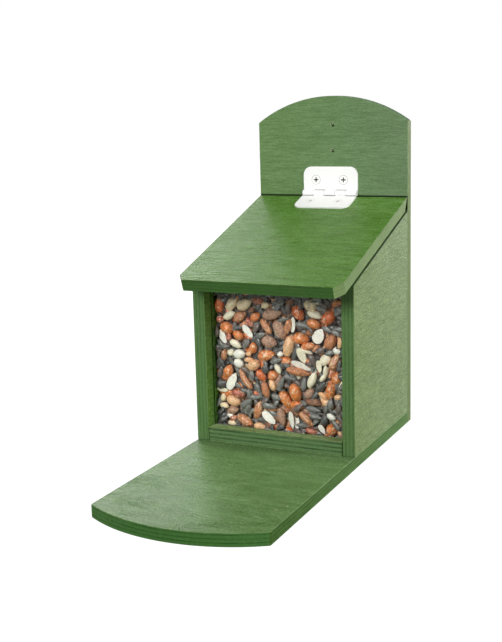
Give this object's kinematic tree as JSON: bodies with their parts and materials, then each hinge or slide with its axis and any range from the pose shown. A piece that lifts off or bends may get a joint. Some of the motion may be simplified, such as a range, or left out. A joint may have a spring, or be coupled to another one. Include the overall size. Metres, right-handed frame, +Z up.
{
  "type": "squirrel feeder box",
  "caption": "Wooden squirrel feeder box: arched backboard, bowed feeding tray, hopper with a clear front pane, and a hinged sloping lid that a squirrel lifts to reach the nuts.",
  "frame": {"origin": "centre of the footprint, on the surface the feeder stands on", "axes": "+X to the object's right, +Y from the feeding tray to the backboard, +Z up"},
  "size_m": [0.1332, 0.3124, 0.2754],
  "materials": {
    "backboard_ply": "green wood stain on plywood, satin",
    "base_ply": "green wood stain on plywood, satin",
    "panel_ply": "green wood stain on plywood, satin",
    "rail_ply": "green wood stain on plywood edge, satin",
    "clear_pane": "clear acrylic sheet, polished",
    "lid_ply": "green wood stain on plywood, satin",
    "hinge_steel": "bright zinc-plated steel",
    "screw_steel": "zinc-plated steel",
    "hanger_steel": "zinc-plated steel, dull",
    "feed": "shelled nuts and seeds, matt"
  },
  "bodies": {
    "box": {"backboard": "backboard_ply", "base_board": "base_ply", "side_panel_left": "panel_ply", "side_panel_right": "panel_ply", "front_rail": "rail_ply", "window_pane": "clear_pane", "hinge_leaf_back": "hinge_steel", "hinge_pin": "hinge_steel", "hinge_screws_back": "screw_steel", "base_screws_left": "screw_steel", "base_screws_right": "screw_steel", "back_screws_left": "screw_steel", "back_screws_right": "screw_steel", "back_base_screws": "screw_steel", "rail_pins": "screw_steel", "hanger_plate": "hanger_steel", "hanger_screws": "screw_steel", "feed_mix": "feed"},
    "lid": {"lid_board": "lid_ply", "hinge_leaf_lid": "hinge_steel", "hinge_screws_lid": "screw_steel"}
  },
  "joints": [
    {"name": "lid_hinge", "type": "hinge", "parent": "box", "child": "lid", "pos_m": [-0.0007, 0.14255, 0.19503], "axis": [-1, 0, 0], "range_deg": [0, 110]}
  ]
}
